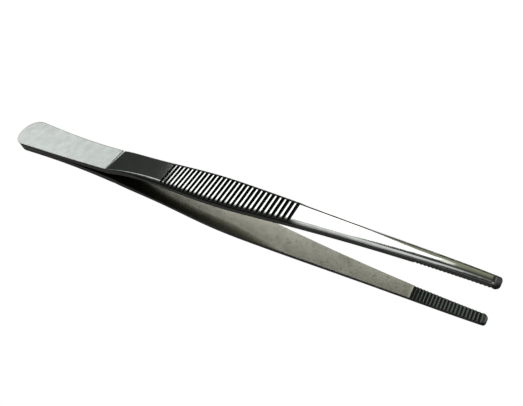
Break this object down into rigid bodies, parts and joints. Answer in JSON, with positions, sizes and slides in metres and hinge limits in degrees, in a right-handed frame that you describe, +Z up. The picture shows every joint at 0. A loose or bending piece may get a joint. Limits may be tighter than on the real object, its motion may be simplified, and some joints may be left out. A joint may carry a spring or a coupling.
{
  "type": "thumb forceps",
  "caption": "Plain thumb forceps of sprung steel: two bowed arms welded at a flat heel, with a ribbed thumb grip and fine cross-cut teeth inside the slim jaws.",
  "frame": {"origin": "on the surface that the forceps stand on, under the middle of their box", "axes": "+X from the heel to the jaws, +Z up, with one arm above the other, +Y across the arms"},
  "size_m": [0.1454, 0.0104, 0.0194],
  "materials": {
    "upper_arm": "polished outside with a satin heel pad, satin inside",
    "lower_arm": "polished outside with a satin heel pad, satin inside"
  },
  "bodies": {
    "root": {"upper_arm": "upper_arm", "lower_arm": "lower_arm"}
  },
  "joints": []
}
